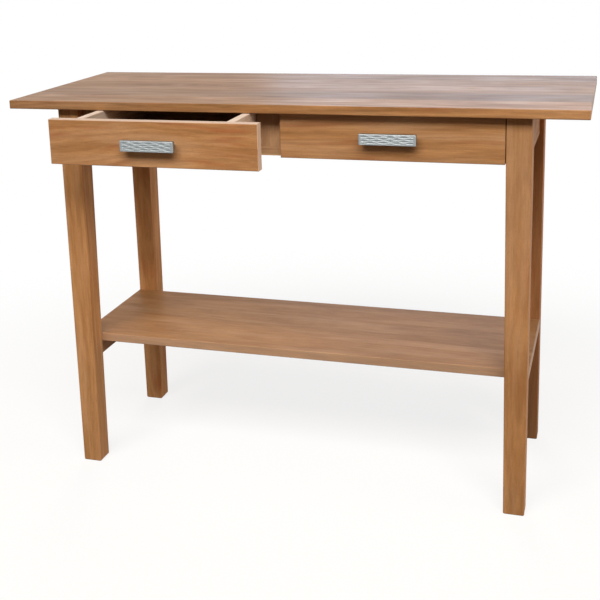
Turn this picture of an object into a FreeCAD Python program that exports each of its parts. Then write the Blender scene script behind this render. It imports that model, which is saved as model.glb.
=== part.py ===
import FreeCAD, Part
import os
import re
import Sketcher

# Serving table in solid wood: glued-up top, four tapered legs, end frames, a low shelf
# and two drawers that slide between wooden guides. Millimetres, +X to the right,
# +Y to the back, +Z up. The floor is Z = 0 and the left drawer is drawn partly open.

SIZES = {
    # Top
    "top_length": 1200.0,
    "top_depth": 475.0,
    "top_thickness": 18.0,
    "table_height": 840.0,
    "end_overhang": 104.0,
    "front_overhang": 22.0,
    "back_overhang": 59.0,
    "top_arris": 1.2,
    # Legs
    "leg_width": 48.0,
    "leg_foot_width": 42.0,
    "taper_height": 715.0,
    "leg_arris": 1.2,
    "foot_chamfer": 2.0,
    # Aprons under the top and the low end rails
    "apron_thickness": 20.0,
    "side_apron_height": 95.0,
    "side_setback": 10.0,
    "back_apron_height": 84.0,
    "back_apron_setback": 4.0,
    "rail_thickness": 20.0,
    "rail_height": 40.0,
    # Shelf
    "shelf_height": 298.0,
    "shelf_thickness": 19.0,
    "shelf_leg_gap": 0.2,
    "shelf_arris": 1.2,
    # Mortise and tenon joints
    "tenon_length": 20.0,
    "tenon_thickness": 8.0,
    "tenon_shoulder": 8.0,
    "glue_gap": 0.15,
    # Frame round the drawers
    "drawer_zone_height": 93.0,
    "drawer_rail_thickness": 18.0,
    "drawer_rail_depth": 45.0,
    "drawer_tenon_width": 18.0,
    "stile_thickness": 20.0,
    "tongue_length": 10.0,
    "tongue_thickness": 6.0,
    "dowel_diameter": 8.0,
    "dowel_length": 24.0,
    "dowel_spacing": 28.0,
    # Drawer fronts
    "front_height": 92.0,
    "front_thickness": 20.0,
    "front_top_gap": 1.0,
    "front_leg_gap": 1.5,
    "front_meeting_gap": 3.0,
    "front_closing_gap": 0.3,
    "front_arris": 1.0,
    # Drawer boxes
    "side_inset": 53.0,
    "side_thickness": 16.0,
    "drawer_back_gap": 22.0,
    "side_arris": 0.8,
    "back_thickness": 16.0,
    "back_drop": 6.0,
    "back_setback": 10.0,
    "housing_depth": 6.0,
    "bottom_thickness": 6.0,
    "bottom_rise": 8.0,
    "dovetail_depth": 10.0,
    "dovetail_neck": 8.0,
    "dovetail_tail": 12.0,
    "dovetail_stop": 8.0,
    "running_gap": 0.3,
    "drawer_open": 132.0,
    # Runners and guides
    "runner_bearing_width": 18.0,
    "guide_gap": 1.0,
    "guide_width": 20.0,
    "guide_height": 28.0,
    # Turn buttons and glue blocks that hold the top
    "button_width": 30.0,
    "button_length": 34.0,
    "button_thickness": 16.0,
    "button_tongue": 9.0,
    "button_tongue_thickness": 8.0,
    "button_groove_depth": 10.0,
    "button_groove_stop": 10.0,
    "side_button_inset": 69.0,
    "back_button_inset": 28.0,
    "block_size": 20.0,
    "block_margin": 6.0,
    # Wood screws
    "screw_diameter": 4.0,
    "screw_head_diameter": 8.0,
    "screw_head_height": 2.5,
    "screw_gap": 0.1,
    "top_screw_bite": 10.0,
    "shelf_screw_bite": 13.0,
    "shelf_screw_recess": 20.0,
    "runner_screw_bite": 16.0,
    "runner_screw_recess": 4.0,
    "bottom_screw_bite": 12.0,
    "bottom_screw_margin": 24.0,
    # Bar pulls with a rippled face
    "handle_length": 113.0,
    "handle_height": 22.0,
    "handle_thickness": 9.0,
    "handle_projection": 22.0,
    "handle_edge_round": 1.5,
    "post_spacing": 96.0,
    "post_diameter": 10.0,
    "handle_screw_diameter": 4.0,
    "handle_screw_bite": 6.0,
    "ripple_depth": 0.8,
    "ripple_width": 2.3,
    "ripple_pitch": 3.8,
    "ripple_half_wave": 13.2,
    "ripple_swing_height": 0.6,
}

TOP_BOARDS = ("front", "front_inner", "middle", "back_inner", "back")
SHELF_BOARDS = ("front", "middle", "back")
RIPPLE_HALF_WAVES = 8
# Hidden dowels, screws and their holes are drawn with this many flat sides to stay light
FASTENER_SIDES = 8

# Lengths that follow from the sizes. Y counts back from the legs' front faces.
DERIVED = {
    "frame_depth": "top_depth - front_overhang - back_overhang",
    "front_reach": "max(front_overhang; drawer_open + handle_projection)",
    "front_plane": "(front_reach - frame_depth - back_overhang) / 2",
    "leg_outer": "top_length / 2 - end_overhang",
    "leg_inner": "leg_outer - leg_width",
    "top_underside": "table_height - top_thickness",
    "side_apron_bottom": "top_underside - side_apron_height",
    "back_apron_bottom": "top_underside - back_apron_height",
    "apron_inner_x": "leg_outer - side_setback - apron_thickness",
    "apron_inner_y": "frame_depth - back_apron_setback - apron_thickness",
    "rail_inner_x": "leg_outer - side_setback - rail_thickness",
    "shelf_underside": "shelf_height - shelf_thickness",
    "rail_bottom": "shelf_underside - rail_height",
    "zone_bottom": "top_underside - drawer_zone_height",
    "bearing_top": "zone_bottom + drawer_rail_thickness",
    "bearing_middle": "zone_bottom + drawer_rail_thickness / 2",
    "stile_front": "front_thickness + front_closing_gap",
    "stile_back": "stile_front + stile_thickness",
    "drawer_rail_back": "stile_front + drawer_rail_depth",
    "drawer_tenon_back": "leg_width - tenon_shoulder / 2",
    "front_width": "leg_inner - front_leg_gap - front_meeting_gap / 2",
    "drawer_centre": "(leg_inner - front_leg_gap + front_meeting_gap / 2) / 2",
    "front_bottom": "top_underside - front_top_gap - front_height",
    "box_half": "front_width / 2 - side_inset",
    "box_inner": "box_half - side_thickness",
    "bay_half": "box_half + guide_gap",
    "side_bottom": "bearing_top + running_gap - front_bottom",
    "side_back": "apron_inner_y - drawer_back_gap",
    "side_middle": "box_half - side_thickness / 2",
    "groove_bottom": "side_bottom + bottom_rise",
    "groove_top": "groove_bottom + bottom_thickness + glue_gap",
    "back_face": "side_back - back_setback",
    "back_inside": "back_face - back_thickness",
    "dovetail_top": "front_height - dovetail_stop",
    "handle_middle": "front_height / 2",
    "bar_face": "handle_projection - ripple_depth",
    "bar_back": "handle_projection - handle_thickness",
    "button_bottom": "top_underside - button_thickness",
    "button_screw_reach": "button_length / 2",
    "block_bottom": "top_underside - block_size",
}

doc = FreeCAD.newDocument("serving_table")
sheet = doc.addObject("Spreadsheet::Sheet", "Sizes")
for row, (size_name, size_value) in enumerate(SIZES.items(), 1):
    sheet.set(f"A{row}", size_name)
    sheet.set(f"B{row}", str(size_value))
    sheet.setAlias(f"B{row}", size_name)
doc.recompute()

PIECES = []


def words(text):
    """Expression in which size names become sheet cells and derived lengths are written out."""
    def cell(match):
        name = match.group(0)
        if name in SIZES:
            return "Sizes." + name
        if name in DERIVED:
            return "(" + words(DERIVED[name]) + ")"
        return name
    return re.sub(r"[a-z][a-z_]*", cell, text)


def value(text):
    """Number that an expression has now."""
    return float(sheet.evalExpression(words(text)))


def bind(item, **lengths):
    """Tie properties of an object to expressions."""
    for name, text in lengths.items():
        item.setExpression(name, words(text))


def place(item, x="0", y="0", z="0"):
    """Tie an object's position to expressions."""
    for axis, text in (("x", x), ("y", y), ("z", z)):
        item.setExpression("Placement.Base." + axis, words(text))


def span(sign, low, high):
    """Range from low to high, mirrored about zero where sign is negative."""
    if sign > 0:
        return low, high
    return f"-({high})", f"-({low})"


def centred(middle, width):
    """Range of a width about a middle."""
    return f"({middle}) - ({width}) / 2", f"({middle}) + ({width}) / 2"


def leg_depth(height):
    """Width of a leg at a height on its tapered length."""
    return f"(leg_foot_width + (leg_width - leg_foot_width) * ({height}) / taper_height)"


def new_body(label):
    """Body that becomes one piece of the table."""
    body = doc.addObject("PartDesign::Body", label)
    body.Label = label
    PIECES.append(body)
    return body


def block(body, kind, name, x, y, z):
    """Square-cornered stock added to a body, or cut from it, between ranges in x, y and z."""
    item = body.newObject("PartDesign::" + kind + "Box", name)
    bind(item, Length=f"({x[1]}) - ({x[0]})", Width=f"({y[1]}) - ({y[0]})", Height=f"({z[1]}) - ({z[0]})")
    place(item, x[0], y[0], z[0])
    return item


def bore(body, name, radius, depth, x, y, z, turn=None):
    """Fastener's hole drilled into a body from a point, along +Z unless it is turned."""
    item = body.newObject("PartDesign::SubtractivePrism", name)
    item.Polygon = FASTENER_SIDES
    if turn:
        item.Placement = FreeCAD.Placement(FreeCAD.Vector(), turn)
    bind(item, Circumradius=radius, Height=depth)
    place(item, x, y, z)
    return item


def origin_plane(body, role):
    """One of a body's own base planes."""
    return next(plane for plane in body.Origin.OriginFeatures if plane.Role == role)


def new_sketch(body, name, role, offset):
    """Empty sketch on a base plane of a body, moved along the plane's normal."""
    sketch = body.newObject("Sketcher::SketchObject", name)
    sketch.AttachmentSupport = [(origin_plane(body, role), "")]
    sketch.MapMode = "FlatFace"
    sketch.setExpression("AttachmentOffset.Base.z", words(offset))
    return sketch


def pin_start(sketch, index, x, y):
    """Hold the start point of a sketch line at two expressions."""
    for kind, text in (("DistanceX", x), ("DistanceY", y)):
        number = sketch.addConstraint(Sketcher.Constraint(kind, -1, 1, index, 1, value(text)))
        sketch.setExpression(f"Constraints[{number}]", words(text))


def outline(body, name, role, corners, offset="0"):
    """Closed straight-sided sketch through corners that are pairs of expressions."""
    sketch = new_sketch(body, name, role, offset)
    points = [FreeCAD.Vector(value(x), value(y), 0) for x, y in corners]
    count = len(points)
    for index, point in enumerate(points):
        sketch.addGeometry(Part.LineSegment(point, points[(index + 1) % count]), False)
    for index in range(count):
        sketch.addConstraint(Sketcher.Constraint("Coincident", index, 2, (index + 1) % count, 1))
    for index, (x, y) in enumerate(corners):
        pin_start(sketch, index, x, y)
    return sketch


def pad(body, name, sketch, length, reverse=False):
    """Sketch raised by a length along its normal, or against it."""
    item = body.newObject("PartDesign::Pad", name)
    item.Profile = sketch
    item.Reversed = reverse
    bind(item, Length=length)
    return item


def pocket(body, name, sketch, length, reverse=False):
    """Sketch cut to a length against its normal, or along it. It has to take wood away."""
    doc.recompute()
    before = body.Shape.Volume
    item = body.newObject("PartDesign::Pocket", name)
    item.Profile = sketch
    item.Reversed = reverse
    bind(item, Length=length)
    doc.recompute()
    if body.Shape.Volume >= before:
        raise RuntimeError(f"{body.Label}: {name} cuts nothing")
    return item


def ease(body, kind, name, size, wanted):
    """Round or chamfer the edges of a body that a test picks."""
    doc.recompute()
    base = body.Tip
    edges = [f"Edge{number}" for number, edge in enumerate(base.Shape.Edges, 1) if wanted(edge)]
    if not edges:
        raise RuntimeError(f"{body.Label}: {name} finds no edge")
    item = body.newObject("PartDesign::" + kind, name)
    item.Base = (base, edges)
    bind(item, **{"Radius" if kind == "Fillet" else "Size": size})
    return item


def along(edge, axis):
    """True for a straight edge that runs close to an axis: 0 for x, 1 for y, 2 for z."""
    ends = [vertex.Point for vertex in edge.Vertexes]
    if len(ends) != 2:
        return False
    run = ends[1] - ends[0]
    return abs(run[axis]) > 0.99 * run.Length


def level(edge, axis, text):
    """True for an edge that lies whole at one coordinate."""
    place_now = value(text)
    return all(abs(vertex.Point[axis] - place_now) < 0.01 for vertex in edge.Vertexes)


def box(name, x, y, z):
    """Plain box between ranges in x, y and z."""
    item = doc.addObject("Part::Box", name)
    bind(item, Length=f"({x[1]}) - ({x[0]})", Width=f"({y[1]}) - ({y[0]})", Height=f"({z[1]}) - ({z[0]})")
    place(item, x[0], y[0], z[0])
    return item


def rod(name, radius, height, x, y, z, turn=None):
    """Fastener's shank or head from a point, along +Z unless it is turned."""
    item = doc.addObject("Part::Prism", name)
    item.Polygon = FASTENER_SIDES
    if turn:
        item.Placement = FreeCAD.Placement(FreeCAD.Vector(), turn)
    bind(item, Circumradius=radius, Height=height)
    place(item, x, y, z)
    return item


def joined(kind, name, members):
    """Fused solid or loose group of plain shapes."""
    item = doc.addObject("Part::" + kind, name)
    if kind == "Compound":
        item.Links = members
    else:
        item.Shapes = members
    return item


def screw(name, shank, x, y, z):
    """Cheese-head wood screw driven upwards: its head hangs below z and its shank stands above."""
    head = rod(name + "_head", "screw_head_diameter / 2", "screw_head_height",
               x, y, f"({z}) - screw_head_height")
    body = rod(name + "_shank", "screw_diameter / 2", shank, x, y, z)
    return joined("MultiFuse", name, [head, body])


def group(label, members, **position):
    """Loose group of like pieces that counts as one node."""
    item = joined("Compound", label, members)
    item.Label = label
    place(item, **position)
    PIECES.append(item)
    return item


TABLE = {"y": "front_plane"}
SIDES = (("left", -1), ("right", 1))

# Places where a screw goes up into the top: (x, y), y counted from the legs' front faces
SIDE_BUTTON_Y = {
    "front": "leg_width + side_button_inset",
    "back": "frame_depth - leg_width - side_button_inset",
}
BACK_BUTTON_X = {
    "left": "-(leg_inner - back_button_inset)",
    "middle": "0",
    "right": "leg_inner - back_button_inset",
}
SIDE_BUTTON_X = "(apron_inner_x - button_screw_reach)"
BACK_BUTTON_Y = "apron_inner_y - button_screw_reach"
TOP_SCREWS = {}
for place_name, button_y in SIDE_BUTTON_Y.items():
    for side_name, side in SIDES:
        TOP_SCREWS[f"{side_name}_{place_name}"] = (f"{side} * {SIDE_BUTTON_X}", button_y)
for place_name, button_x in BACK_BUTTON_X.items():
    TOP_SCREWS["back_" + place_name] = (button_x, BACK_BUTTON_Y)


def panel_edges(edge, ends_x, front, back):
    """True for an arris of a glued-up panel that lies on the panel's outline."""
    on_end = level(edge, 0, ends_x) or level(edge, 0, f"-({ends_x})")
    on_long_side = level(edge, 1, front) or level(edge, 1, back)
    if along(edge, 0):
        return on_long_side
    if along(edge, 1):
        return on_end
    return on_end and on_long_side


def make_panel(prefix, names, half_length, front, back, bottom, thickness, arris, holes):
    """Boards glued edge to edge, their common outline eased, with pilot holes from below."""
    drills = []
    for hole_name, (x, y, depth) in holes.items():
        drills.append(rod(f"{prefix}_pilot_{hole_name}", "screw_diameter / 2 + screw_gap",
                          f"({depth}) + screw_gap", x, y, bottom))
    drill_set = joined("Compound", prefix + "_pilots", drills)
    width = f"(({back}) - ({front})) / {len(names)}"
    for number, name in enumerate(names):
        label = f"{prefix}_board_{name}"
        low = f"({front}) + {number} * ({width})"
        high = f"({front}) + {number + 1} * ({width})"
        board = doc.addObject("PartDesign::Body", label + "_stock")
        block(board, "Additive", label + "_blank", (f"-({half_length})", half_length), (low, high),
              (bottom, f"({bottom}) + ({thickness})"))
        ease(board, "Chamfer", label + "_arris", arris,
             lambda edge: panel_edges(edge, half_length, front, back))
        drilled = doc.addObject("Part::Cut", label)
        drilled.Label = label
        drilled.Base = board
        drilled.Tool = drill_set
        place(drilled, **TABLE)
        PIECES.append(drilled)


def make_top():
    """Top of five boards. Its underside takes the screws of the buttons."""
    holes = {name: (x, y, "top_screw_bite") for name, (x, y) in TOP_SCREWS.items()}
    make_panel("top", TOP_BOARDS, "top_length / 2", "-front_overhang", "frame_depth + back_overhang",
               "top_underside", "top_thickness", "top_arris", holes)


SHELF_FRONT = leg_depth("shelf_height") + " + shelf_leg_gap"
SHELF_BACK = f"frame_depth - ({SHELF_FRONT})"
RAIL_MIDDLE_X = "(leg_outer - side_setback - rail_thickness / 2)"
SHELF_SCREWS = {}
for side_name, side in SIDES:
    for number, board_name in enumerate(SHELF_BOARDS):
        share = (number + 0.5) / len(SHELF_BOARDS)
        screw_y = f"({SHELF_FRONT}) + {share} * (({SHELF_BACK}) - ({SHELF_FRONT}))"
        SHELF_SCREWS[f"{side_name}_{board_name}"] = (f"{side} * {RAIL_MIDDLE_X}", screw_y)


def make_shelf():
    """Shelf of three boards that lie on the end rails, between the front and back legs."""
    holes = {name: (x, y, "shelf_screw_bite") for name, (x, y) in SHELF_SCREWS.items()}
    make_panel("shelf", SHELF_BOARDS, "leg_outer", SHELF_FRONT, SHELF_BACK, "shelf_underside",
               "shelf_thickness", "shelf_arris", holes)


def leg_section(low, high):
    """Corners of a square with its arrises planed off."""
    near = f"{low} + leg_arris"
    far = f"{high} - leg_arris"
    return [(near, low), (far, low), (high, near), (high, far),
            (far, high), (near, high), (low, far), (low, near)]


def make_leg(label, side, end):
    """Square leg whose two inner faces are tapered to the foot, with mortises for its rails."""
    body = new_body(label)
    inward_x = -side
    inward_y = -end
    place(body, x=f"{side} * leg_outer", y="front_plane" if end < 0 else "front_plane + frame_depth")
    foot = leg_depth("foot_chamfer")
    sections = []
    for name, height, low, high in (
        ("sole", "0", "foot_chamfer", f"{foot} - foot_chamfer"),
        ("foot", "foot_chamfer", "0", foot),
        ("taper_start", "taper_height", "0", "leg_width"),
        ("head", "top_underside", "0", "leg_width"),
    ):
        corners = [(f"{inward_x} * ({x})", f"{inward_y} * ({y})") for x, y in leg_section(low, high)]
        sections.append(outline(body, f"{label}_{name}", "XY_Plane", corners, offset=height))
    shaft = body.newObject("PartDesign::AdditiveLoft", label + "_shaft")
    shaft.Profile = sections[0]
    shaft.Sections = sections[1:]
    shaft.Ruled = True
    doc.recompute()

    across = ("leg_width - tenon_length - glue_gap", "leg_width")
    thick = centred("side_setback + apron_thickness / 2", "tenon_thickness + 2 * glue_gap")
    tall = ("side_apron_bottom + tenon_shoulder - glue_gap", "top_underside - tenon_shoulder + glue_gap")
    block(body, "Subtractive", label + "_side_mortise", span(inward_x, *thick), span(inward_y, *across), tall)
    if end > 0:
        thick = centred("back_apron_setback + apron_thickness / 2", "tenon_thickness + 2 * glue_gap")
        tall = ("back_apron_bottom + tenon_shoulder - glue_gap", tall[1])
        block(body, "Subtractive", label + "_back_mortise", span(inward_x, *across),
              span(inward_y, *thick), tall)
    else:
        wide = ("drawer_tenon_back - drawer_tenon_width - glue_gap", "drawer_tenon_back + glue_gap")
        high = centred("bearing_middle", "tenon_thickness + 2 * glue_gap")
        block(body, "Subtractive", label + "_drawer_mortise", span(inward_x, *across), wide, high)
    low_thick = centred("side_setback + rail_thickness / 2", "tenon_thickness + 2 * glue_gap")
    low_across = (f"{leg_depth('rail_bottom')} - tenon_length - glue_gap", "leg_width")
    low_tall = ("rail_bottom + tenon_shoulder - glue_gap", "shelf_underside - tenon_shoulder + glue_gap")
    block(body, "Subtractive", label + "_rail_mortise", span(inward_x, *low_thick),
          span(inward_y, *low_across), low_tall)


BUTTON_GROOVE = ("button_bottom - glue_gap", "button_bottom + button_tongue_thickness")
SIDE_TENON = ("side_apron_bottom + tenon_shoulder", "top_underside - tenon_shoulder")
BACK_TENON = ("back_apron_bottom + tenon_shoulder", "top_underside - tenon_shoulder")


def make_side_apron(label, side):
    """End board between a front and a back leg, tenoned into both, grooved for the buttons."""
    body = new_body(label)
    place(body, **TABLE)
    outer = "leg_outer - side_setback"
    block(body, "Additive", label + "_board", span(side, "apron_inner_x", outer),
          ("leg_width", "frame_depth - leg_width"), ("side_apron_bottom", "top_underside"))
    block(body, "Additive", label + "_tenons",
          span(side, *centred("apron_inner_x + apron_thickness / 2", "tenon_thickness")),
          ("leg_width - tenon_length", "frame_depth - leg_width + tenon_length"), SIDE_TENON)
    block(body, "Subtractive", label + "_groove",
          span(side, "apron_inner_x", "apron_inner_x + button_groove_depth"),
          ("leg_width + button_groove_stop", "frame_depth - leg_width - button_groove_stop"), BUTTON_GROOVE)


def make_back_apron():
    """Long board between the back legs. Its underside takes the runners' screws."""
    label = "back_apron"
    body = new_body(label)
    place(body, **TABLE)
    block(body, "Additive", label + "_board", ("-leg_inner", "leg_inner"),
          ("apron_inner_y", "apron_inner_y + apron_thickness"), ("back_apron_bottom", "top_underside"))
    block(body, "Additive", label + "_tenons", ("-leg_inner - tenon_length", "leg_inner + tenon_length"),
          centred("apron_inner_y + apron_thickness / 2", "tenon_thickness"), BACK_TENON)
    block(body, "Subtractive", label + "_groove",
          ("-leg_inner + button_groove_stop", "leg_inner - button_groove_stop"),
          ("apron_inner_y", "apron_inner_y + button_groove_depth"), BUTTON_GROOVE)
    for name, x in RUNNER_X.items():
        bore(body, f"{label}_pilot_{name}", "screw_diameter / 2 + screw_gap", "runner_screw_bite + screw_gap",
             x, "apron_inner_y + apron_thickness / 2", "back_apron_bottom")


def make_end_rail(label, side):
    """Low rail under the shelf's end. Its shoulders follow the legs' taper."""
    body = new_body(label)
    place(body, **TABLE)
    low = leg_depth("rail_bottom")
    high = leg_depth("shelf_underside")
    corners = [(low, "rail_bottom"), (f"frame_depth - {low}", "rail_bottom"),
               (f"frame_depth - {high}", "shelf_underside"), (high, "shelf_underside")]
    thick = span(side, "rail_inner_x", "rail_inner_x + rail_thickness")
    profile = outline(body, label + "_profile", "YZ_Plane", corners, offset=thick[0])
    pad(body, label + "_board", profile, "rail_thickness")
    block(body, "Additive", label + "_tenons",
          span(side, *centred("rail_inner_x + rail_thickness / 2", "tenon_thickness")),
          (f"{low} - tenon_length", f"frame_depth - {low} + tenon_length"),
          ("rail_bottom + tenon_shoulder", "shelf_underside - tenon_shoulder"))
    for name, (x, y) in SHELF_SCREWS.items():
        if name.startswith("left" if side < 0 else "right"):
            bore(body, f"{label}_way_{name}", "screw_diameter / 2 + screw_gap", "rail_height",
                 x, y, "rail_bottom")
            bore(body, f"{label}_recess_{name}", "screw_head_diameter / 2 + screw_gap", "shelf_screw_recess",
                 x, y, "rail_bottom")


STILES = {
    "drawer_stile_left": ("-leg_inner", "-(drawer_centre + bay_half)"),
    "drawer_stile_centre": ("-(drawer_centre - bay_half)", "drawer_centre - bay_half"),
    "drawer_stile_right": ("drawer_centre + bay_half", "leg_inner"),
}
STILE_DOWELS = {}
for stile_name, (stile_low, stile_high) in STILES.items():
    for end_name, sign in SIDES:
        dowel_x = f"(({stile_low}) + ({stile_high})) / 2 + {sign} * dowel_spacing / 2"
        STILE_DOWELS[f"{stile_name}_{end_name}"] = dowel_x
DOWEL_Y = "stile_front + stile_thickness / 2"
DOWEL_BOTTOM = "bearing_top - dowel_length / 2"


def make_drawer_rail():
    """Flat rail under the drawers, tenoned into the front legs, grooved behind for the runners."""
    label = "drawer_rail"
    body = new_body(label)
    place(body, **TABLE)
    block(body, "Additive", label + "_board", ("-leg_inner", "leg_inner"),
          ("stile_front", "drawer_rail_back"), ("zone_bottom", "bearing_top"))
    block(body, "Additive", label + "_tenons", ("-leg_inner - tenon_length", "leg_inner + tenon_length"),
          ("drawer_tenon_back - drawer_tenon_width", "drawer_tenon_back"),
          centred("bearing_middle", "tenon_thickness"))
    block(body, "Subtractive", label + "_groove", ("-leg_inner", "leg_inner"),
          ("drawer_rail_back - tongue_length - glue_gap", "drawer_rail_back"),
          centred("bearing_middle", "tongue_thickness + 2 * glue_gap"))
    for name, x in STILE_DOWELS.items():
        bore(body, f"{label}_dowel_hole_{name}", "dowel_diameter / 2 + glue_gap",
             "dowel_length / 2 + glue_gap", x, DOWEL_Y, "bearing_top - dowel_length / 2 - glue_gap")


def make_stiles():
    """Upright boards behind the drawer fronts, between the openings, with their dowels."""
    for label, x in STILES.items():
        body = new_body(label)
        place(body, **TABLE)
        block(body, "Additive", label + "_board", x, ("stile_front", "stile_back"),
              ("bearing_top", "top_underside"))
        for name, dowel_x in STILE_DOWELS.items():
            if name.startswith(label):
                bore(body, f"hole_{name}", "dowel_diameter / 2 + glue_gap", "dowel_length / 2 + glue_gap",
                     dowel_x, DOWEL_Y, "bearing_top")
    dowels = [rod(f"dowel_{name}", "dowel_diameter / 2", "dowel_length", x, DOWEL_Y, DOWEL_BOTTOM)
              for name, x in STILE_DOWELS.items()]
    group("stile_dowels", dowels, **TABLE)


def runner_span(drawer_side, box_side, low, high):
    """Range across one side of one drawer, from distances to the drawer's middle."""
    near, far = span(box_side, low, high)
    return f"{drawer_side} * drawer_centre + ({near})", f"{drawer_side} * drawer_centre + ({far})"


RUNNERS = {}
RUNNER_X = {}
for drawer_name, drawer_side in SIDES:
    for box_name, box_side in SIDES:
        runner_name = f"{drawer_name}_drawer_{box_name}"
        RUNNERS[runner_name] = (drawer_side, box_side)
        RUNNER_X[runner_name] = f"{drawer_side} * drawer_centre + {box_side} * bay_half"


def make_runners():
    """Strips that carry the drawer sides, and the guides beside them."""
    for name, (drawer_side, box_side) in RUNNERS.items():
        label = name + "_runner"
        body = new_body(label)
        place(body, **TABLE)
        x = runner_span(drawer_side, box_side, "box_half - runner_bearing_width", "bay_half + guide_width")
        block(body, "Additive", label + "_strip", x, ("drawer_rail_back", "apron_inner_y"),
              ("zone_bottom", "bearing_top"))
        block(body, "Additive", label + "_tongue", x,
              ("drawer_rail_back - tongue_length", "drawer_rail_back"),
              centred("bearing_middle", "tongue_thickness"))
        block(body, "Additive", label + "_lip", x, ("apron_inner_y", "apron_inner_y + apron_thickness"),
              ("zone_bottom", "back_apron_bottom"))
        lip_y = "apron_inner_y + apron_thickness / 2"
        bore(body, label + "_way", "screw_diameter / 2 + screw_gap", "back_apron_bottom - zone_bottom",
             RUNNER_X[name], lip_y, "zone_bottom")
        bore(body, label + "_recess", "screw_head_diameter / 2 + screw_gap", "runner_screw_recess",
             RUNNER_X[name], lip_y, "zone_bottom")
    for name, (drawer_side, box_side) in RUNNERS.items():
        label = name + "_guide"
        body = new_body(label)
        place(body, **TABLE)
        x = runner_span(drawer_side, box_side, "bay_half", "bay_half + guide_width")
        block(body, "Additive", label + "_strip", x, ("stile_back", "apron_inner_y"),
              ("bearing_top", "bearing_top + guide_height"))
    shank = "back_apron_bottom - zone_bottom - runner_screw_recess + runner_screw_bite"
    screws = []
    for name, x in RUNNER_X.items():
        screws.append(screw(f"runner_screw_{name}", shank, x, "apron_inner_y + apron_thickness / 2",
                            "zone_bottom + runner_screw_recess"))
    group("runner_screws", screws, **TABLE)


def make_top_fixings():
    """Buttons in the aprons' grooves, screwed to the top, and blocks glued behind the stiles."""
    half = "button_width / 2"
    buttons = []
    for name, (x, y) in TOP_SCREWS.items():
        on_back = name.startswith("back")
        side = -1 if name.startswith("left") else 1
        face = "apron_inner_y" if on_back else "apron_inner_x"
        body_reach = (f"{face} - button_length", face)
        tongue_reach = (face, f"{face} + button_tongue")
        wide_x = (f"({x}) - {half}", f"({x}) + {half}")
        wide_y = (f"({y}) - {half}", f"({y}) + {half}")
        body_xy = (wide_x, body_reach) if on_back else (span(side, *body_reach), wide_y)
        tongue_xy = (wide_x, tongue_reach) if on_back else (span(side, *tongue_reach), wide_y)
        body = box(f"button_body_{name}", *body_xy, ("button_bottom", "top_underside"))
        tongue = box(f"button_tongue_{name}", *tongue_xy,
                     ("button_bottom", "button_bottom + button_tongue_thickness"))
        drilled = doc.addObject("Part::Cut", f"button_{name}")
        drilled.Base = joined("MultiFuse", f"button_solid_{name}", [body, tongue])
        drilled.Tool = rod(f"button_way_{name}", "screw_diameter / 2 + screw_gap", "button_thickness",
                           x, y, "button_bottom")
        buttons.append(drilled)
    group("top_buttons", buttons, **TABLE)
    screws = [screw(f"top_screw_{name}", "button_thickness + top_screw_bite", x, y, "button_bottom")
              for name, (x, y) in TOP_SCREWS.items()]
    group("top_screws", screws, **TABLE)
    blocks = [box(f"glue_block_{name}", (f"({low}) + block_margin", f"({high}) - block_margin"),
                  ("stile_back", "stile_back + block_size"), ("block_bottom", "top_underside"))
              for name, (low, high) in STILES.items()]
    group("stile_blocks", blocks, **TABLE)


def make_shelf_screws():
    """Screws driven up through the end rails into the shelf."""
    screws = [screw(f"shelf_screw_{name}", "rail_height - shelf_screw_recess + shelf_screw_bite", x, y,
                    "rail_bottom + shelf_screw_recess") for name, (x, y) in SHELF_SCREWS.items()]
    group("shelf_screws", screws, **TABLE)


def dovetail(middle, neck, tail, depth):
    """Corners of a dovetail that widens forwards from the drawer front's back face."""
    left_neck, right_neck = centred(middle, neck)
    left_tail, right_tail = centred(middle, tail)
    tip = f"front_thickness - ({depth})"
    root = "front_thickness"
    return [(left_neck, root), (right_neck, root), (right_tail, tip), (left_tail, tip)]


INTO_FRONT = FreeCAD.Rotation(FreeCAD.Vector(1, 0, 0), 90)


def make_drawer_front(label, position):
    """Front board that lies over the frame, with sliding-dovetail slots for the sides."""
    body = new_body(label)
    place(body, **position)
    half = "front_width / 2"
    block(body, "Additive", label + "_board", (f"-{half}", half), ("0", "front_thickness"),
          ("0", "front_height"))
    ease(body, "Chamfer", label + "_arris", "front_arris", lambda edge: level(edge, 1, "0"))
    for side_name, side in SIDES:
        corners = dovetail(f"{side} * side_middle", "dovetail_neck + 2 * glue_gap",
                           "dovetail_tail + 2 * glue_gap", "dovetail_depth + glue_gap")
        slot = outline(body, f"{label}_slot_{side_name}", "XY_Plane", corners)
        pocket(body, f"{label}_housing_{side_name}", slot, "dovetail_top", reverse=True)
        bore(body, f"{label}_screw_way_{side_name}", "handle_screw_diameter / 2 + screw_gap",
             "front_thickness", f"{side} * post_spacing / 2", "front_thickness", "handle_middle", INTO_FRONT)
    block(body, "Subtractive", label + "_groove", ("-side_middle", "side_middle"),
          ("front_thickness - housing_depth", "front_thickness"), ("groove_bottom", "groove_top"))


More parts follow.
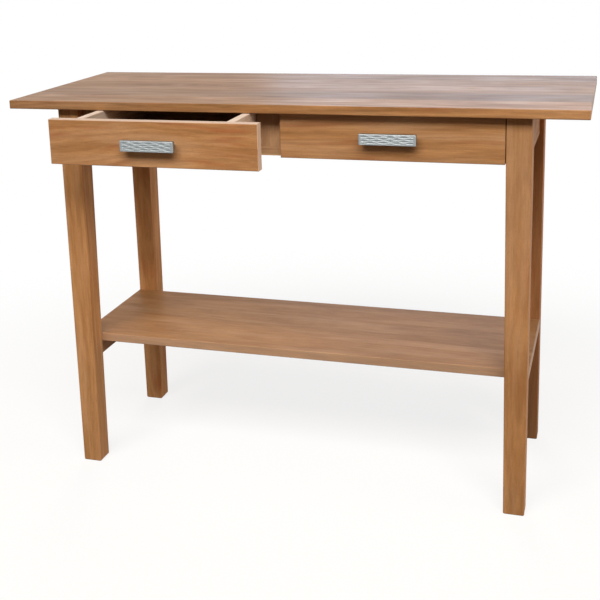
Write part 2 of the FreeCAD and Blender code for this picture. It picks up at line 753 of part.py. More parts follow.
def make_drawer_side(label, side, position):
    """Side board with its dovetail tongue, a groove for the bottom and a housing for the back."""
    body = new_body(label)
    place(body, **position)
    block(body, "Additive", label + "_board", span(side, "box_inner", "box_half"),
          ("front_thickness", "side_back"), ("side_bottom", "front_height"))
    ease(body, "Chamfer", label + "_arris", "side_arris",
         lambda edge: along(edge, 1) and level(edge, 2, "front_height"))
    corners = dovetail(f"{side} * side_middle", "dovetail_neck", "dovetail_tail", "dovetail_depth")
    tongue = outline(body, label + "_tongue_outline", "XY_Plane", corners, offset="side_bottom")
    pad(body, label + "_tongue", tongue, "dovetail_top - glue_gap - side_bottom")
    inner = span(side, "box_inner", "box_inner + housing_depth")
    block(body, "Subtractive", label + "_groove", inner, ("front_thickness - dovetail_depth", "side_back"),
          ("groove_bottom", "groove_top"))
    block(body, "Subtractive", label + "_housing", inner, ("back_inside - glue_gap", "back_face + glue_gap"),
          ("groove_bottom", "front_height"))


def make_drawer_box(drawer_name, position):
    """Sides, back and bottom of one drawer, with the screws that hold the bottom to the back."""
    for side_name, side in SIDES:
        make_drawer_side(f"{drawer_name}_side_{side_name}", side, position)
    half = "box_inner + housing_depth - glue_gap"
    back = new_body(drawer_name + "_back")
    place(back, **position)
    block(back, "Additive", drawer_name + "_back_board", (f"-({half})", half), ("back_inside", "back_face"),
          ("groove_bottom + bottom_thickness", "front_height - back_drop"))
    bottom = new_body(drawer_name + "_bottom")
    place(bottom, **position)
    block(bottom, "Additive", drawer_name + "_bottom_panel", (f"-({half})", half),
          ("front_thickness - housing_depth + glue_gap", "back_face"),
          ("groove_bottom", "groove_bottom + bottom_thickness"))
    screws = []
    for name, sign in (("left", -1), ("middle", 0), ("right", 1)):
        x = f"{sign} * (box_inner - bottom_screw_margin)"
        y = "back_face - back_thickness / 2"
        radius = "screw_diameter / 2 + screw_gap"
        bore(bottom, f"{drawer_name}_bottom_way_{name}", radius, "bottom_thickness", x, y, "groove_bottom")
        bore(back, f"{drawer_name}_back_pilot_{name}", radius, "bottom_screw_bite + screw_gap", x, y,
             "groove_bottom + bottom_thickness")
        screws.append(screw(f"{drawer_name}_bottom_screw_{name}", "bottom_thickness + bottom_screw_bite",
                            x, y, "groove_bottom"))
    group(drawer_name + "_bottom_screws", screws, **position)


def wave_line(sketch, start_x, start_y, step, flip):
    """Row of equal arcs that rise and fall in turn, as sketch geometry. Returns its indices."""
    length = value("ripple_half_wave")
    swing = value("ripple_swing_height")
    indices = []
    for number in range(RIPPLE_HALF_WAVES):
        rise = swing if (number + flip) % 2 == 0 else -swing
        near = start_x + step * number * length
        far = start_x + step * (number + 1) * length
        arc = Part.Arc(FreeCAD.Vector(near, start_y, 0), FreeCAD.Vector((near + far) / 2, start_y + rise, 0),
                       FreeCAD.Vector(far, start_y, 0))
        indices.append(sketch.addGeometry(arc, False))
    return indices


def ripple(body, name, flip, rows):
    """Wavy raised bands across the face of the bar: the lowest is drawn and the rest repeat it upwards."""
    sketch = new_sketch(body, name, "XZ_Plane", "bar_face")
    half = f"ripple_half_wave * {RIPPLE_HALF_WAVES} / 2"
    row = f"handle_middle - ({rows} - 1) * ripple_pitch"
    heights = (f"{row} - ripple_width / 2", f"{row} + ripple_width / 2")
    radius = "ripple_half_wave * ripple_half_wave / (8 * ripple_swing_height) + ripple_swing_height / 2"
    lines = [wave_line(sketch, -value(half), value(height), 1, flip) for height in heights]
    ends = []
    for text in (f"-({half})", half):
        low = FreeCAD.Vector(value(text), value(heights[0]), 0)
        high = FreeCAD.Vector(value(text), value(heights[1]), 0)
        ends.append(sketch.addGeometry(Part.LineSegment(low, high), False))
    for height, line in zip(heights, lines):
        for number, index in enumerate(line):
            # An arc runs anticlockwise, so one that bulges upwards starts at its right end
            rises = (number + flip) % 2 == 0
            left = 2 if rises else 1
            right = 1 if rises else 2
            x = f"ripple_half_wave * ({number} - {RIPPLE_HALF_WAVES} / 2)"
            for kind, text in (("DistanceX", x), ("DistanceY", height)):
                where = sketch.addConstraint(Sketcher.Constraint(kind, -1, 1, index, left, value(text)))
                sketch.setExpression(f"Constraints[{where}]", words(text))
            where = sketch.addConstraint(Sketcher.Constraint("Radius", index, value(radius)))
            sketch.setExpression(f"Constraints[{where}]", words(radius))
            if number + 1 < RIPPLE_HALF_WAVES:
                next_left = 1 if rises else 2
                following = line[number + 1]
                sketch.addConstraint(Sketcher.Constraint("Coincident", index, right, following, next_left))
            else:
                end = 1 if height == heights[0] else 2
                sketch.addConstraint(Sketcher.Constraint("Coincident", index, right, ends[1], end))
                for kind, text in (("DistanceX", half), ("DistanceY", height)):
                    where = sketch.addConstraint(Sketcher.Constraint(kind, -1, 1, ends[1], end, value(text)))
                    sketch.setExpression(f"Constraints[{where}]", words(text))
        first_left = 2 if flip == 0 else 1
        end = 1 if height == heights[0] else 2
        sketch.addConstraint(Sketcher.Constraint("Coincident", line[0], first_left, ends[0], end))
    band = pad(body, name + "_band", sketch, "ripple_depth")
    doc.recompute()
    repeat = body.newObject("PartDesign::LinearPattern", name + "_rows")
    repeat.Originals = [band]
    repeat.Direction = (sketch, ["V_Axis"])
    repeat.Occurrences = rows
    bind(repeat, Length=f"2 * ripple_pitch * ({rows} - 1)")
    body.Tip = repeat


def make_handle(drawer_name, position):
    """Bar pull on two posts: a plain bar, wavy bands raised on its face, and screws from inside."""
    label = drawer_name + "_handle_bar"
    body = new_body(label)
    place(body, **position)
    half = "handle_length / 2"
    block(body, "Additive", label + "_bar", (f"-{half}", half), ("-bar_face", "-bar_back"),
          centred("handle_middle", "handle_height"))
    ease(body, "Fillet", label + "_arris", "handle_edge_round", lambda edge: not level(edge, 1, "-bar_back"))
    ripple(body, label + "_ripple_even", 0, 3)
    ripple(body, label + "_ripple_odd", 1, 2)
    screws = []
    reach = "front_thickness + bar_back + handle_screw_bite"
    for side_name, side in SIDES:
        x = f"{side} * post_spacing / 2"
        bore(body, f"{label}_thread_{side_name}", "handle_screw_diameter / 2 + screw_gap",
             "handle_screw_bite + screw_gap", x, "-bar_back", "handle_middle", INTO_FRONT)
        post = new_body(f"{drawer_name}_handle_post_{side_name}")
        place(post, **position)
        turned = post.newObject("PartDesign::AdditiveCylinder", f"{drawer_name}_post_{side_name}")
        turned.Placement = FreeCAD.Placement(FreeCAD.Vector(), INTO_FRONT)
        bind(turned, Radius="post_diameter / 2", Height="bar_back")
        place(turned, x, "0", "handle_middle")
        bore(post, f"{drawer_name}_post_way_{side_name}", "handle_screw_diameter / 2 + screw_gap", "bar_back",
             x, "0", "handle_middle", INTO_FRONT)
        head = rod(f"{drawer_name}_handle_head_{side_name}", "screw_head_diameter / 2", "screw_head_height",
                   x, "front_thickness + screw_head_height", "handle_middle", INTO_FRONT)
        shank = rod(f"{drawer_name}_handle_shank_{side_name}", "handle_screw_diameter / 2", reach,
                    x, "front_thickness", "handle_middle", INTO_FRONT)
        screws.append(joined("MultiFuse", f"{drawer_name}_handle_screw_{side_name}", [head, shank]))
    group(drawer_name + "_handle_screws", screws, **position)


def make_drawers():
    """Two equal drawers. The left one stands open."""
    for (side_name, side), pulled in zip(SIDES, ("drawer_open", "0")):
        drawer_name = side_name + "_drawer"
        position = {"x": f"{side} * drawer_centre", "y": f"front_plane - {pulled}", "z": "front_bottom"}
        make_drawer_front(drawer_name + "_front", position)
        make_drawer_box(drawer_name, position)
        make_handle(drawer_name, position)


def check():
    """Stop before anything is written if an object failed or a shape isn't sound."""
    doc.recompute()
    for item in doc.Objects:
        if "Invalid" in item.State or "Error" in item.State:
            raise RuntimeError(f"{item.Label} failed: {item.State}")
    for piece in PIECES:
        if piece.Shape.isNull() or not piece.Shape.isValid() or not piece.Shape.Solids:
            raise RuntimeError(f"{piece.Label} has no sound shape")


def main():
    make_top()
    for end_name, end in (("front", -1), ("back", 1)):
        for side_name, side in SIDES:
            make_leg(f"leg_{end_name}_{side_name}", side, end)
    for side_name, side in SIDES:
        make_side_apron("side_apron_" + side_name, side)
        make_end_rail("end_rail_" + side_name, side)
    make_back_apron()
    make_shelf()
    make_shelf_screws()
    make_drawer_rail()
    make_stiles()
    make_runners()
    make_top_fixings()
    make_drawers()
    check()
    os.makedirs("parts", exist_ok=True)
    for piece in PIECES:
        piece.Shape.exportStep(f"parts/{piece.Label}.step")


main()
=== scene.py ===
import bpy
import bmesh
import math
from mathutils import Matrix, Vector


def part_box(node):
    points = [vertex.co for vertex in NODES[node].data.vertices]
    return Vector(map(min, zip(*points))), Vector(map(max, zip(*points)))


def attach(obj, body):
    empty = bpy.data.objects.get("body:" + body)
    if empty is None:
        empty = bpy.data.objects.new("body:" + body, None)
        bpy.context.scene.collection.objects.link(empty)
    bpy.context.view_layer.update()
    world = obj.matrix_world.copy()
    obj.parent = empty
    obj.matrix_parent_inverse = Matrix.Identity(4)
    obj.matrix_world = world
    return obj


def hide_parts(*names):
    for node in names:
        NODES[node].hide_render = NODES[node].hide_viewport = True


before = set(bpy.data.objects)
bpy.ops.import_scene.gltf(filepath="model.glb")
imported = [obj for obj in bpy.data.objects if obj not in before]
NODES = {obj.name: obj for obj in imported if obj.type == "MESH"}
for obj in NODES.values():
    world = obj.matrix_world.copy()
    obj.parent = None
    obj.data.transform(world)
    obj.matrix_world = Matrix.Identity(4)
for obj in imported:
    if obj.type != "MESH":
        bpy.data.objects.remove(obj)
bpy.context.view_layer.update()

bl_info = {
    "name": "Serving Table",
    "version": (1, 0, 0),
    "blender": (4, 5, 0),
    "location": "View3D > Sidebar > Serving Table",
    "description": "Dresses a two-drawer serving table in oiled hardwood and satin metal pulls",
    "category": "Object",
}

MM = 0.001

# A colour Mix node has hidden sockets of the same names, so its two colours go by number
MIX_A = 6
MIX_B = 7

# Axes along, across and into a board, by the axis that its grain follows
GRAIN_ORDER = {"X": "XYZ", "Y": "YZX", "Z": "ZXY"}

# Rounded edges of the pulls' bars, and the steps that a quarter turn is drawn in
PULL_ROUND = 1.5 * MM
ROUND_STEPS = 6


def linear(hex_colour):
    """sRGB hex colour as linear red, green, blue and full alpha."""
    shares = [int(hex_colour[i:i + 2], 16) / 255 for i in (1, 3, 5)]
    return [c / 12.92 if c <= 0.04045 else ((c + 0.055) / 1.055) ** 2.4 for c in shares] + [1.0]


def add(tree, kind, sockets=None, **settings):
    """Node with its settings. Each socket gets a plain value, or a link from a socket or from a node's
    first live output."""
    node = tree.nodes.new(kind)
    for name, value in settings.items():
        setattr(node, name, value)
    for name, value in (sockets or {}).items():
        if isinstance(value, bpy.types.Node):
            value = next(output for output in value.outputs if output.enabled)
        if isinstance(value, bpy.types.NodeSocket):
            tree.links.new(value, node.inputs[name])
        else:
            node.inputs[name].default_value = value
    return node


def new_material(name):
    """Empty material and its node tree."""
    material = bpy.data.materials.new(name)
    material.use_nodes = True
    material.node_tree.nodes.clear()
    return material, material.node_tree


class TableFinish(bpy.types.PropertyGroup):
    """Colours of the wood and metal"""
    wood_light: bpy.props.FloatVectorProperty(
        name="Wood, light", description="Pale early wood of the oiled boards",
        subtype="COLOR", size=4, min=0, max=1, default=linear("#B6875A"))
    wood_deep: bpy.props.FloatVectorProperty(
        name="Wood, deep", description="Darker late wood and streaks of the oiled boards",
        subtype="COLOR", size=4, min=0, max=1, default=linear("#9A6C42"))
    # On the back legs this red also serves as painted warm bounced light
    wood_red: bpy.props.FloatVectorProperty(
        name="Wood, red", description="Reddish patches along the grain",
        subtype="COLOR", size=4, min=0, max=1, default=linear("#9C5E39"))
    wood_pale: bpy.props.FloatVectorProperty(
        name="Wood, pale", description="Pale patches of the oiled boards",
        subtype="COLOR", size=4, min=0, max=1, default=linear("#BD936E"))
    thin_light: bpy.props.FloatVectorProperty(
        name="Frame behind the fronts, light", description="Thinly oiled stiles and drawer rail",
        subtype="COLOR", size=4, min=0, max=1, default=linear("#A78563"))
    thin_deep: bpy.props.FloatVectorProperty(
        name="Frame behind the fronts, deep", description="Streaks of the stiles and drawer rail",
        subtype="COLOR", size=4, min=0, max=1, default=linear("#86654A"))
    # This colour also paints the pale edges round broad faces, partly painted light
    bare_light: bpy.props.FloatVectorProperty(
        name="Bare wood, light", description="Planed wood inside the drawers",
        subtype="COLOR", size=4, min=0, max=1, default=linear("#E8D6C8"))
    bare_deep: bpy.props.FloatVectorProperty(
        name="Bare wood, deep", description="Streaks of the planed wood inside the drawers",
        subtype="COLOR", size=4, min=0, max=1, default=linear("#CDB4A0"))
    metal_high: bpy.props.FloatVectorProperty(
        name="Pull, raised", description="Rubbed tops of the pulls' ripples",
        subtype="COLOR", size=4, min=0, max=1, default=linear("#969C9F"))
    metal_low: bpy.props.FloatVectorProperty(
        name="Pull, hollow", description="Dulled hollows between the pulls' ripples",
        subtype="COLOR", size=4, min=0, max=1, default=linear("#83898C"))


class TableSizes(bpy.types.PropertyGroup):
    """Sizes that the solids leave open"""
    ring_width: bpy.props.FloatProperty(
        name="Growth lines", description="Width of the broadest growth lines",
        unit="LENGTH", default=11 * MM, min=1 * MM, max=40 * MM)
    streak_width: bpy.props.FloatProperty(
        name="Red streaks", description="Width of the reddish streaks",
        unit="LENGTH", default=24 * MM, min=1 * MM, max=80 * MM)
    ripple_depth: bpy.props.FloatProperty(
        name="Ripple depth", description="Height of the ripples on the pulls",
        unit="LENGTH", default=0.8 * MM, min=0.1 * MM, max=2 * MM)
    ripple_pitch: bpy.props.FloatProperty(
        name="Ripple pitch", description="Distance between neighbouring ripples",
        unit="LENGTH", default=3.8 * MM, min=2 * MM, max=8 * MM)
    ripple_swing: bpy.props.FloatProperty(
        name="Ripple swing", description="How far a ripple wanders up and down",
        unit="LENGTH", default=0.75 * MM, min=0, max=2 * MM)
    ripple_half_wave: bpy.props.FloatProperty(
        name="Ripple half wave", description="Length of half a wave along the pull",
        unit="LENGTH", default=13.2 * MM, min=4 * MM, max=40 * MM)


def grain_noise(tree, place, length, width, detail, roughness=0.5):
    """Noise drawn out along the grain, in patches of about this length and width."""
    waves = (1 / length, 1 / width, 1 / width)
    flow = add(tree, "ShaderNodeVectorMath", {0: place, 1: waves}, operation="MULTIPLY")
    return add(tree, "ShaderNodeTexNoise",
               {"Vector": flow, "Scale": 1.0, "Detail": detail, "Roughness": roughness})


def grain_place(tree, node, grain, seed, slope, wander):
    """Place in the board as (along, across, depth) from its middle, that place moved to wood of its own,
    and the distance to the tree's heart."""
    low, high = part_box(node)
    middle = (low + high) / 2
    order = GRAIN_ORDER[grain]
    place = add(tree, "ShaderNodeTexCoord").outputs["Object"]
    axes = add(tree, "ShaderNodeSeparateXYZ", {0: place})
    wood = add(tree, "ShaderNodeCombineXYZ", {i: axes.outputs[axis] for i, axis in enumerate(order)})
    centre = [middle["XYZ".index(axis)] for axis in order]
    local = add(tree, "ShaderNodeVectorMath", {0: wood, 1: centre}, operation="SUBTRACT")
    turned = add(tree, "ShaderNodeVectorRotate", {"Vector": local, "Angle": slope},
                 rotation_type="Z_AXIS")
    # Each board's wood lies metres from the next one's, so that no two look alike
    apart = (seed * 3.71, seed * 1.37, seed * 2.19)
    own = add(tree, "ShaderNodeVectorMath", {0: turned, 1: apart}, operation="ADD")

    # The grain wanders to each side over about 400 mm of length. Noise strays a quarter from its middle
    drift = grain_noise(tree, own, 400 * MM, 83.3 * MM, 2.0)
    noise_middle = (0.5, 0.5, 0.5)
    drift = add(tree, "ShaderNodeVectorMath", {0: drift.outputs["Color"], 1: noise_middle},
                operation="SUBTRACT")
    reach = (0.0, 4 * wander, 4 * wander)
    drift = add(tree, "ShaderNodeVectorMath", {0: drift, 1: reach}, operation="MULTIPLY")
    bent = add(tree, "ShaderNodeVectorMath", {0: turned, 1: drift}, operation="ADD")

    # The heart lies 70 to 110 mm from the board's middle, so that the face cuts the rings in long arches
    heart_depth = 90 * MM + 20 * MM * math.cos(seed)
    heart = (400 * MM * math.sin(seed * 1.7), 40 * MM * math.sin(seed * 2.3), -heart_depth)
    away = add(tree, "ShaderNodeVectorMath", {0: bent, 1: heart}, operation="SUBTRACT")
    # Each ring is a closed shell, 29 times as long as it is wide
    ring_stretch = (0.035, 1.0, 1.0)
    away = add(tree, "ShaderNodeVectorMath", {0: away, 1: ring_stretch}, operation="MULTIPLY")
    radius = add(tree, "ShaderNodeVectorMath", {0: away}, operation="LENGTH")
    return local, own, radius


def ring_lines(tree, own, radius, width, seed, detail):
    """Irregular lines that follow the growth rings, about as wide as the width and 220 mm long."""
    length = 222.2 * MM
    layer = seed * 5.3
    along = add(tree, "ShaderNodeSeparateXYZ", {0: own})
    along = add(tree, "ShaderNodeMath", {0: along, 1: length}, operation="DIVIDE")
    count = add(tree, "ShaderNodeMath", {0: radius, 1: width}, operation="DIVIDE")
    flow = add(tree, "ShaderNodeCombineXYZ", {0: along, 1: count, 2: layer})
    return add(tree, "ShaderNodeTexNoise",
               {"Vector": flow, "Scale": 1.0, "Detail": detail, "Roughness": 0.68})


def wood_colour(tree, own, radius, seed, colours, red_base, red_share):
    """Light and deep growth lines, with soft pale patches and reddish streaks over them."""
    sizes = bpy.context.scene.table_sizes
    light, deep, red, pale = colours
    lines = ring_lines(tree, own, radius, sizes.ring_width, seed, 5.0)
    lines = add(tree, "ShaderNodeMapRange", {"Value": lines, "From Min": 0.3, "From Max": 0.72},
                interpolation_type="SMOOTHSTEP")
    colour = add(tree, "ShaderNodeMix", {"Factor": lines, MIX_A: light, MIX_B: deep}, data_type="RGBA")

    # The patches are about 300 mm long and 30 mm wide
    patches = grain_noise(tree, own, 303 * MM, 30.3 * MM, 2.0)
    patches = add(tree, "ShaderNodeMapRange",
                  {"Value": patches, "From Min": 0.45, "From Max": 0.7, "To Max": 0.55},
                  interpolation_type="SMOOTHSTEP")
    colour = add(tree, "ShaderNodeMix", {"Factor": patches, MIX_A: colour, MIX_B: pale}, data_type="RGBA")

    streaks = ring_lines(tree, own, radius, sizes.streak_width, seed + 0.5, 2.0)
    streaks = add(tree, "ShaderNodeMapRange", {"Value": streaks, "From Min": 0.5, "From Max": 0.72,
                                               "To Min": red_base, "To Max": red_share},
                  interpolation_type="SMOOTHSTEP")
    return add(tree, "ShaderNodeMix", {"Factor": streaks, MIX_A: colour, MIX_B: red}, data_type="RGBA")


def board_tone(tree, node, grain, local, tones):
    """Tone that changes slowly from one end of the board to the other."""
    low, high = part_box(node)
    half = (high - low)["XYZ".index(grain)] / 2
    along = add(tree, "ShaderNodeSeparateXYZ", {0: local})
    return add(tree, "ShaderNodeMapRange", {"Value": along, "From Min": -half, "From Max": half,
                                            "To Min": tones[0], "To Max": tones[1]})


def ends_and_edges(tree, colour, dark, grain, face, edges):
    """End grain, which drinks more oil and is darker, and paler edges round the broad face: bare wood and
    painted light.
    """
    facing = add(tree, "ShaderNodeTexCoord").outputs["Normal"]
    facing = add(tree, "ShaderNodeVectorMath", {0: facing}, operation="ABSOLUTE")
    facing = add(tree, "ShaderNodeSeparateXYZ", {0: facing})
    ends = add(tree, "ShaderNodeMapRange",
               {"Value": facing.outputs[grain], "From Min": 0.75, "From Max": 0.95, "To Max": 0.35})
    colour = add(tree, "ShaderNodeMix", {"Factor": ends, MIX_A: colour, MIX_B: dark}, data_type="RGBA")
    if edges:
        # Painted highlight: faces that turn from the broad face get paler, mixed with bare wood
        unoiled_and_lit = add(tree, "ShaderNodeMapRange", {"Value": facing.outputs[face], "From Min": 0.5,
                                               "From Max": 0.95, "To Min": edges, "To Max": 0.0})
        bare_and_lit_wood = list(bpy.context.scene.table_finish.bare_light)
        colour = add(tree, "ShaderNodeMix", {"Factor": unoiled_and_lit, MIX_A: colour, MIX_B: bare_and_lit_wood},
                     data_type="RGBA")
    return colour


def hardwood(name, node, grain, seed, colours, tones=(1.0, 1.0), figure=1.0, fleck=0.1, red_share=0.5,
             red_base=0.0, rough=0.5, sheen=0.3, slope=0.0, wander=5 * MM, edges=0.0, face="Y"):
    """Solid hardwood, planed, sanded and oiled. The eye gets lines that follow the growth rings, soft
    pale and reddish patches, short dark pores, darker end grain and a satin sheen that grows at a low
    angle."""
    material, tree = new_material(name)
    local, own, radius = grain_place(tree, node, grain, seed, slope, wander)
    colour = wood_colour(tree, own, radius, seed, colours, red_base, red_share)

    # Fibres are drawn 3.5 mm wide, coarser than real ones, so that they show in the picture
    fibres = grain_noise(tree, own, 45.5 * MM, 3.45 * MM, 4.0, 0.65)
    shade = add(tree, "ShaderNodeMapRange", {"Value": fibres, "From Min": 0.3, "From Max": 0.7,
                                             "To Min": 1.0 - fleck, "To Max": 1.0 + fleck})
    # Dark figure: growth lines, drawn 6 mm wide, that come and go along the board
    bands_width = 0.55 * bpy.context.scene.table_sizes.ring_width
    palest = 1.0 + 0.1 * figure
    darkest = 1.0 - 0.18 * figure
    bands = ring_lines(tree, own, radius, bands_width, seed + 0.3, 3.0)
    bands = add(tree, "ShaderNodeMapRange", {"Value": bands, "From Min": 0.35, "From Max": 0.65,
                                             "To Min": palest, "To Max": darkest})
    shade = add(tree, "ShaderNodeMath", {0: shade, 1: bands}, operation="MULTIPLY")
    tone = board_tone(tree, node, grain, local, tones)
    shade = add(tree, "ShaderNodeMath", {0: shade, 1: tone}, operation="MULTIPLY")
    colour = add(tree, "ShaderNodeVectorMath", {0: colour, "Scale": shade}, operation="SCALE")

    # Pores are 0.5 mm wide and 7 mm long. Oil in them and in end grain darkens the deep colour
    deep = colours[1]
    dark = [share * 0.45 for share in deep[:3]] + [1.0]
    pores = grain_noise(tree, own, 7.1 * MM, 0.5 * MM, 1.0)
    pores = add(tree, "ShaderNodeMapRange",
                {"Value": pores, "From Min": 0.6, "From Max": 0.74, "To Max": 0.4},
                interpolation_type="SMOOTHSTEP")
    colour = add(tree, "ShaderNodeMix", {"Factor": pores, MIX_A: colour, MIX_B: dark}, data_type="RGBA")
    colour = ends_and_edges(tree, colour, dark, grain, face, edges)

    gloss = add(tree, "ShaderNodeMapRange", {"Value": bands, "From Min": 0.82, "From Max": 1.1,
                                             "To Min": rough + 0.05, "To Max": rough - 0.04})
    relief = add(tree, "ShaderNodeMath", {0: fibres, 1: pores}, operation="SUBTRACT")
    bump = add(tree, "ShaderNodeBump", {"Height": relief, "Strength": 0.2, "Distance": 0.2 * MM})
    skin = add(tree, "ShaderNodeBsdfPrincipled", {"Base Color": colour, "Roughness": gloss, "IOR": 1.5,
                                                  "Specular IOR Level": sheen, "Normal": bump})
    add(tree, "ShaderNodeOutputMaterial", {"Surface": skin})
    return material


def dress(node, material):
    """Give a solid that stays visible its material."""
    mesh = NODES[node].data
    mesh.materials.clear()
    mesh.materials.append(material)


def finish_colours(*names):
    """Colours of the finish, by their names."""
    finish = bpy.context.scene.table_finish
    return [list(getattr(finish, name)) for name in names]


def oiled(node, grain, seed, **look):
    """Oiled hardwood on one visible board."""
    colours = finish_colours("wood_light", "wood_deep", "wood_red", "wood_pale")
    dress(node, hardwood("oiled_hardwood_" + node, node, grain, seed, colours, **look))


def thinly_oiled(node, grain, seed, **look):
    """Hardwood with one thin coat, duller than the rest, on a piece that the fronts or the top hide."""
    colours = finish_colours("thin_light", "thin_deep", "thin_deep", "thin_light")
    name = "thinly_oiled_hardwood_" + node
    dress(node, hardwood(name, node, grain, seed, colours, rough=0.65, sheen=0.15, **look))


def bare(node, grain, seed, **look):
    """Planed wood without oil, pale and dull, on one side of a drawer."""
    colours = finish_colours("bare_light", "bare_deep", "bare_deep", "bare_light")
    name = "planed_wood_" + node
    dress(node, hardwood(name, node, grain, seed, colours, rough=0.65, sheen=0.2, **look))


class OBJECT_OT_table_top(bpy.types.Operator):
    """Oil the five boards of the top, each with a tone of its own"""
    bl_idname = "object.table_top"
    bl_label = "Top Boards"

    def execute(self, context):
        tones = {"front": (0.68, 0.94), "front_inner": (0.58, 0.53), "middle": (0.66, 0.79),
                 "back_inner": (0.7, 0.76), "back": (0.65, 0.63)}
        for seed, (board, ends) in enumerate(tones.items(), 1):
            oiled("top_board_" + board, "X", seed, tones=ends, figure=1.2, fleck=0.14, red_share=0.35,
                  rough=0.38, sheen=0.12)
        return {"FINISHED"}


class OBJECT_OT_table_shelf(bpy.types.Operator):
    """Oil the three boards of the shelf"""
    bl_idname = "object.table_shelf"
    bl_label = "Shelf Boards"

    def execute(self, context):
        # Painted shade: the tones fall towards the right end to offset the sheen lamp's reflection there
        tones = {"front": (0.9, 0.81), "middle": (0.87, 0.68), "back": (0.97, 0.7)}
        for seed, (board, ends) in enumerate(tones.items(), 11):
            # The pale front and end faces are partly bare wood, partly a painted highlight
            oiled("shelf_board_" + board, "X", seed, tones=ends, figure=0.25, fleck=0.13, red_share=0.1,
                  rough=0.48, sheen=0.15, edges=0.19, face="Z")
        return {"FINISHED"}


class OBJECT_OT_table_frame(bpy.types.Operator):
    """Oil the legs, aprons, rails and stiles"""
    bl_idname = "object.table_frame"
    bl_label = "Legs and Rails"

    def execute(self, context):
        # Tones at the foot and at the top, then the least and the most red
        legs = {
            "leg_front_left": ((1.06, 1.14), 0.0, 0.12),
            "leg_front_right": ((1.02, 0.9), 0.0, 0.12),
            # Painted light: the back left leg is lighter and redder, for warm light that the lamps bring
            # it too little of
            "leg_back_left": ((1.52, 1.42), 0.0, 0.7),
            # Painted shade and light: the back right leg is darker at the foot under the shelf, lighter
            # at the top where side light falls, and red for warm bounced light in its shade
            "leg_back_right": ((0.6, 1.25), 0.4, 0.7),
        }
        for seed, (node, (tones, red_base, red_share)) in enumerate(legs.items(), 21):
            oiled(node, "Z", seed, tones=tones, figure=0.6, red_share=red_share, red_base=red_base,
                  rough=0.6, sheen=0.15)
        rails = {"side_apron_left": "Y", "side_apron_right": "Y", "back_apron": "X",
                 "end_rail_left": "Y", "end_rail_right": "Y"}
        for seed, (node, grain) in enumerate(rails.items(), 25):
            oiled(node, grain, seed, tones=(0.86, 0.86), red_share=0.3, rough=0.6, sheen=0.15)
        behind = {"drawer_rail": "X", "drawer_stile_left": "Z", "drawer_stile_centre": "Z",
                  "drawer_stile_right": "Z"}
        for seed, (node, grain) in enumerate(behind.items(), 35):
            thinly_oiled(node, grain, seed, tones=(1.22, 1.22))
        return {"FINISHED"}


class OBJECT_OT_drawer_fronts(bpy.types.Operator):
    """Oil the two drawer fronts"""
    bl_idname = "object.drawer_fronts"
    bl_label = "Drawer Fronts"

    def execute(self, context):
        # Painted light: the left front's top and end faces are pale, partly bare wood and partly light
        # painted on
        oiled("left_drawer_front", "X", 41, tones=(0.93, 0.99), figure=0.7, red_share=0.7, sheen=0.2,
              slope=math.radians(7), wander=12 * MM, edges=0.6)
        oiled("right_drawer_front", "X", 42, tones=(0.87, 0.91), figure=0.85, red_share=0.45, sheen=0.2)
        return {"FINISHED"}


class OBJECT_OT_drawer_boxes(bpy.types.Operator):
    """Give the drawer boxes, runners and hidden blocks their plain inner wood"""
    bl_idname = "object.drawer_boxes"
    bl_label = "Drawer Boxes and Runners"

    def execute(self, context):
        grains = {"top_buttons": "Y", "stile_blocks": "X", "stile_dowels": "Z"}
        for drawer in ("left_drawer", "right_drawer"):
            for side in ("left", "right"):
                grains[f"{drawer}_side_{side}"] = "Y"
                grains[f"{drawer}_{side}_runner"] = "Y"
                grains[f"{drawer}_{side}_guide"] = "Y"
            grains[drawer + "_back"] = "X"
            grains[drawer + "_bottom"] = "X"
        for seed, (node, grain) in enumerate(grains.items(), 51):
            if "_side_" in node:
                # Painted shade and light: the broad faces are toned down for the shade inside the drawer,
                # the top edges stay pale, partly bare wood and partly painted light
                bare(node, grain, seed, tones=(0.85, 0.85), edges=0.9, face="X")
            else:
                thinly_oiled(node, grain, seed, tones=(0.9, 0.9))
        return {"FINISHED"}


def zinc_plating():
    """Zinc plating on drawn steel: pale metal with a faint blotchy haze, in spots of 2.5 mm."""
    material, tree = new_material("zinc_plated_steel")
    place = add(tree, "ShaderNodeTexCoord").outputs["Object"]
    haze = add(tree, "ShaderNodeTexNoise", {"Vector": place, "Scale": 1 / (2.5 * MM), "Detail": 3.0})
    colour = add(tree, "ShaderNodeMix",
                 {"Factor": haze, MIX_A: linear("#9A9B98"), MIX_B: linear("#C4C5C0")}, data_type="RGBA")
    gloss = add(tree, "ShaderNodeMapRange", {"Value": haze, "To Min": 0.25, "To Max": 0.45})
    skin = add(tree, "ShaderNodeBsdfPrincipled",
               {"Base Color": colour, "Metallic": 1.0, "Roughness": gloss})
    add(tree, "ShaderNodeOutputMaterial", {"Surface": skin})
    return material


class OBJECT_OT_table_screws(bpy.types.Operator):
    """Plate the screws with zinc"""
    bl_idname = "object.table_screws"
    bl_label = "Screws"

    def execute(self, context):
        material = zinc_plating()
        for node in NODES:
            if node.endswith("screws"):
                dress(node, material)
        return {"FINISHED"}


